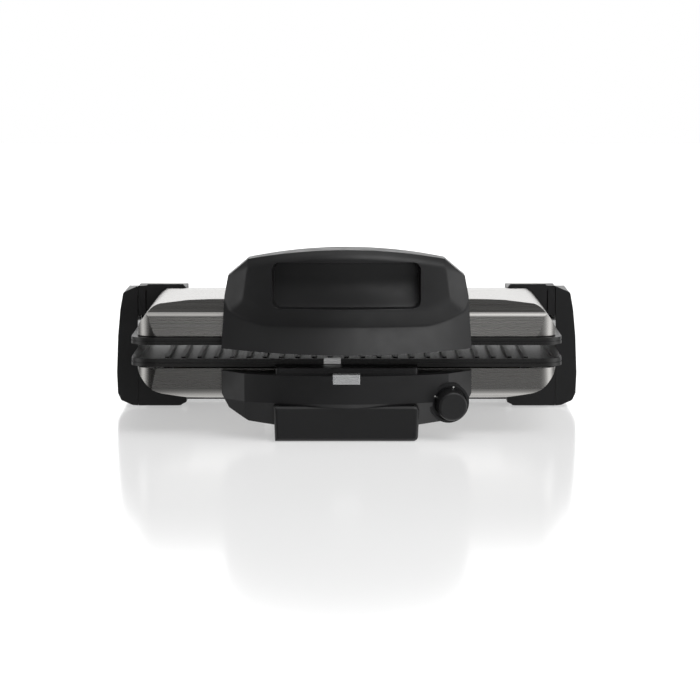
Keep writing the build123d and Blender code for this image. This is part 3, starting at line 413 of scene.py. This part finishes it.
def handle_rows(x):
    """Z of one column's rows, dense at the lips of the recess."""
    low, high = outline_low(x), outline_high(x)
    first = min(RECESS_Z[0], low + 0.45 * (high - low))
    second = min(RECESS_Z[1], low + 0.9 * (high - low))
    lip = 0.02 * (high - low)
    return spread([low, first - lip, first + lip, second - lip, second + lip, high], [40, 12, 30, 12, 12])


def close_between(mesh, fronts, backs):
    """Faces both grids of points and the rim between them, which makes a closed solid."""
    for grid, turned in ((fronts, False), (backs, True)):
        for left, right in zip(grid, grid[1:]):
            for step in range(len(left) - 1):
                corners = [left[step], right[step], right[step + 1], left[step + 1]]
                mesh.faces.new(reversed(corners) if turned else corners)
    last_column, last_row = len(fronts) - 1, len(fronts[0]) - 1
    rim = [(column, 0) for column in range(last_column + 1)]
    rim += [(last_column, row) for row in range(1, last_row + 1)]
    rim += [(column, last_row) for column in range(last_column - 1, -1, -1)]
    rim += [(0, row) for row in range(last_row - 1, 0, -1)]
    for (a, i), (b, j) in zip(rim, rim[1:] + rim[:1]):
        mesh.faces.new([fronts[b][j], fronts[a][i], backs[a][i], backs[b][j]])
    bmesh.ops.remove_doubles(mesh, verts=mesh.verts, dist=0.02 * MM)
    bmesh.ops.recalc_face_normals(mesh, faces=mesh.faces)


def handle_solid():
    """Closed mesh of the whole handle, in metres."""
    columns = handle_columns()
    mesh = bmesh.new()
    fronts, backs = [], []
    for x in columns:
        rows = handle_rows(x)
        fronts.append([mesh.verts.new((x * MM, handle_front_surface(x, z) * MM, z * MM)) for z in rows])
        backs.append([mesh.verts.new((x * MM, handle_back_surface(z) * MM, z * MM)) for z in rows])
    close_between(mesh, fronts, backs)
    return mesh


def handle_piece(name, node, direction):
    """One of the handle's two mouldings: the solid kept on one side of the seam and closed there."""
    solid = handle_solid()
    cut = (SEAM_Y + direction * SEAM_GAP / 2) * MM
    bmesh.ops.bisect_plane(
        solid, geom=[*solid.verts, *solid.edges, *solid.faces], plane_co=(0, cut, 0),
        plane_no=(0, -direction, 0), clear_outer=True, dist=0.001 * MM,
    )
    bmesh.ops.holes_fill(solid, edges=[edge for edge in solid.edges if edge.is_boundary])
    bmesh.ops.recalc_face_normals(solid, faces=solid.faces)
    return add_piece(name, node, solid)


def add_piece(name, node, solid):
    """Turns a bmesh into a smooth-shaded object that stands for a CAD node."""
    mesh = bpy.data.meshes.new(name)
    solid.to_mesh(mesh)
    solid.free()
    mesh.shade_smooth()
    mesh.set_sharp_from_angle(angle=math.radians(28))
    piece = bpy.data.objects.new(name, mesh)
    bpy.context.scene.collection.objects.link(piece)
    slot = SLOT_OF[node]
    mesh.materials.append(MATERIALS[slot])
    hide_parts(node)
    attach(piece, BODY_OF[node])
    return piece


handle_piece("handle_front_moulding", "handle_front", -1)
handle_piece("handle_back_moulding", "handle_back", 1)


# ---- ribbed catches and lens --------------------------------------------------------------------
def ribbed_bar(name, node, ribs, depth, lean, corner):
    """Closed bar in a node's box. Its front carries rounded ribs along X and leans back by lean."""
    low, high = (corner_point / MM for corner_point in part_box(node))
    across = spread([low.x, high.x], [40])
    upwards = spread([low.z, high.z], [60])
    bar = bmesh.new()
    fronts, backs = [], []
    for x in across:
        front_column, back_column = [], []
        for z in upwards:
            height = (z - low.z) / (high.z - low.z)
            inner_x = max(abs(x - (low.x + high.x) / 2) - (high.x - low.x) / 2 + corner, 0) / corner
            inner_z = max(abs(z - (low.z + high.z) / 2) - (high.z - low.z) / 2 + corner, 0) / corner
            rounding = 1 - math.sqrt(max(1 - min(inner_x ** 2 + inner_z ** 2, 1), 0))
            wave = 0.5 + 0.5 * math.cos(2 * math.pi * ribs * height)
            y = low.y + depth * wave * (1 - rounding) + lean * height + rounding * corner
            front_column.append(bar.verts.new((x * MM, min(y, high.y - 0.05) * MM, z * MM)))
            back_column.append(bar.verts.new((x * MM, high.y * MM, z * MM)))
        fronts.append(front_column)
        backs.append(back_column)
    close_between(bar, fronts, backs)
    return add_piece(name, node, bar)


ribbed_bar("lower_catch_tongue", "lower_plate_catch", 2, 0.5, 0.7, 0.5)
ribbed_bar("upper_catch_tongue", "upper_plate_catch", 2, 0.5, 0.7, 0.5)
ribbed_bar("indicator_lens_cover", "indicator_lens", 5, 0.7, 0.0, 0.8)


# ---- stage, light and camera --------------------------------------------------------------------
def floor():
    """Pale glossy studio floor."""
    mesh = bpy.data.meshes.new("floor")
    size = 6.0
    below_pads = 0.0002
    corners = [(-size, -size, 0), (size, -size, 0), (size, size, 0), (-size, size, 0)]
    mesh.from_pydata(corners, [], [(0, 1, 2, 3)])
    plane = bpy.data.objects.new("floor", mesh)
    bpy.context.scene.collection.objects.link(plane)
    plane.location.z = -below_pads
    material, tree, shader = new_material("floor_gloss")
    shader.inputs["Base Color"].default_value = (0.9, 0.9, 0.9, 1)
    shader.inputs["Roughness"].default_value = 0.13
    shader.inputs["Specular IOR Level"].default_value = 0.12
    shader.inputs["Emission Color"].default_value = (1, 1, 1, 1)
    shader.inputs["Emission Strength"].default_value = 0.42
    mesh.materials.append(material)
    plane.visible_glossy = False


def area_light(name, location, target, width, height, power):
    """Soft rectangular light aimed at a point, which the reflections leave out."""
    light = bpy.data.lights.new(name, "AREA")
    light.shape = "RECTANGLE"
    light.size = width
    light.size_y = height
    light.energy = power
    lamp = bpy.data.objects.new(name, light)
    lamp.location = location
    direction = mathutils.Vector(location) - mathutils.Vector(target)
    lamp.rotation_mode = "QUATERNION"
    lamp.rotation_quaternion = direction.to_track_quat("Z", "Y")
    lamp.visible_glossy = False
    bpy.context.scene.collection.objects.link(lamp)


def camera():
    """Long lens, level with the top of a low shelf, looking slightly down at the front."""
    data = bpy.data.cameras.new("camera")
    data.lens = FOCAL_LENGTH
    data.sensor_width = 36.0
    data.clip_end = 50
    shot = bpy.data.objects.new("camera", data)
    shot.location = (CAMERA_X, cad_low.y - CAMERA_BACK, CAMERA_HIGH)
    shot.rotation_euler = (math.radians(90 - CAMERA_DOWN), 0, 0)
    bpy.context.scene.collection.objects.link(shot)
    bpy.context.scene.camera = shot


# Studio brightness against the sine of elevation, behind and in front of the press. The strip is added
# to the front's, straight ahead only.
BEHIND = [
    (-1.0, 0.85), (-0.1, 0.9), (0.0, 1.4), (0.36, 1.4),
    (0.46, 0.03), (0.80, 0.03), (0.90, 0.7), (1.0, 0.8),
]
IN_FRONT = [
    (-1.0, 1.1), (-0.8, 0.5), (-0.3, 0.15), (0.0, 0.10),
    (0.38, 0.14), (0.66, 0.95), (0.93, 1.6), (1.0, 0.8),
]
FRONT_STRIP = [(-0.14, 0.0), (-0.06, 2.2), (0.14, 2.2), (0.22, 0.0)]
# Brightness against the sine of the angle to the left or right, added all round.
SIDES = [(-1.0, 1.1), (-0.93, 0.35), (-0.8, 0.0), (0.7, 0.0), (0.92, 0.45), (1.0, 1.4)]

# Edges between the cards, as ranges of the view direction's components.
LEFT_TO_RIGHT = (-0.1, 0.1, 0.2, 1.5)   # the front cards brighten from the left to the right
STRIP_EDGE = (0.006, 0.03)              # a narrow bright strip straight ahead
FLAG_EDGE = (0.3, 0.62)                 # dark flags at both sides behind
HALVES_EDGE = (-0.15, 0.15)             # from the front half to the back half
FLAG_GREY = (0.16, 0.16, 0.16, 1)
PLAIN_WHITE = (1, 1, 1, 1)

# The soft card low in front of the press, to its right.
CARD_AT = (0.55, -2.3, 0.22)
CARD_AIM = (0.05, -0.1, 0.06)
CARD_WIDE = 0.6
CARD_HIGH = 0.5
CARD_WATTS = 20

FOCAL_LENGTH = 164.6
CAMERA_BACK = 2.5
CAMERA_X = 0.0028
CAMERA_HIGH = 0.33
CAMERA_DOWN = 5.86                      # degrees below level


def graded(tree, value, stops):
    """Piecewise brightness of a -1..1 value, as a colour ramp whose stops are (value, brightness)."""
    node = tree.nodes.new("ShaderNodeValToRGB")
    tree.links.new(between(tree, value, -1, 1, 0, 1), node.inputs["Fac"])
    elements = node.color_ramp.elements
    while len(elements) < len(stops):
        elements.new(0.5)
    for element, (place, brightness) in zip(elements, stops):
        element.position = (place + 1) / 2
        element.color = (brightness, brightness, brightness, 1)
    return node.outputs["Color"]


def scaled(tree, colour, factor):
    """A colour times a value."""
    node = tree.nodes.new("ShaderNodeVectorMath")
    node.operation = "SCALE"
    tree.links.new(colour, node.inputs["Vector"])
    tree.links.new(factor, node.inputs["Scale"])
    return node.outputs["Vector"]


def added(tree, first, second):
    """The sum of two colours."""
    node = tree.nodes.new("ShaderNodeVectorMath")
    node.operation = "ADD"
    tree.links.new(first, node.inputs[0])
    tree.links.new(second, node.inputs[1])
    return node.outputs["Vector"]


def mixed(tree, factor, first, second):
    """first where the factor is 0 and second where it is 1."""
    node = tree.nodes.new("ShaderNodeMix")
    node.data_type = "RGBA"
    tree.links.new(factor, node.inputs["Factor"])
    tree.links.new(first, node.inputs["A"])
    if isinstance(second, tuple):
        node.inputs["B"].default_value = second
    else:
        tree.links.new(second, node.inputs["B"])
    return node.outputs["Result"]


def surroundings():
    """White studio: plain white to the camera, graded cards and gaps for light and reflections."""
    world = bpy.data.worlds.new("studio")
    bpy.context.scene.world = world
    world.use_nodes = True
    tree = world.node_tree
    direction = tree.nodes.new("ShaderNodeTexCoord").outputs["Generated"]
    parts = tree.nodes.new("ShaderNodeSeparateXYZ")
    tree.links.new(direction, parts.inputs["Vector"])
    across, depth, elevation = (parts.outputs[axis] for axis in "XYZ")
    absolute = tree.nodes.new("ShaderNodeMath")
    absolute.operation = "ABSOLUTE"
    tree.links.new(across, absolute.inputs[0])
    sideways = absolute.outputs["Value"]
    cards = scaled(tree, graded(tree, elevation, IN_FRONT), between(tree, across, *LEFT_TO_RIGHT))
    strip = scaled(tree, graded(tree, elevation, FRONT_STRIP), between(tree, sideways, *STRIP_EDGE, 1, 0))
    flagged = between(tree, sideways, *FLAG_EDGE, 0, 1)
    behind = mixed(tree, flagged, graded(tree, elevation, BEHIND), FLAG_GREY)
    round_about = mixed(tree, between(tree, depth, *HALVES_EDGE, 0, 1), added(tree, cards, strip), behind)
    total = added(tree, round_about, graded(tree, across, SIDES))
    camera_ray = tree.nodes.new("ShaderNodeLightPath").outputs["Is Camera Ray"]
    background = tree.nodes["Background"]
    tree.links.new(mixed(tree, camera_ray, total, PLAIN_WHITE), background.inputs["Color"])
    background.inputs["Strength"].default_value = 1.0


floor()
surroundings()
area_light("low_front_card", CARD_AT, CARD_AIM, CARD_WIDE, CARD_HIGH, CARD_WATTS)
camera()
bpy.context.scene.view_settings.view_transform = "Standard"
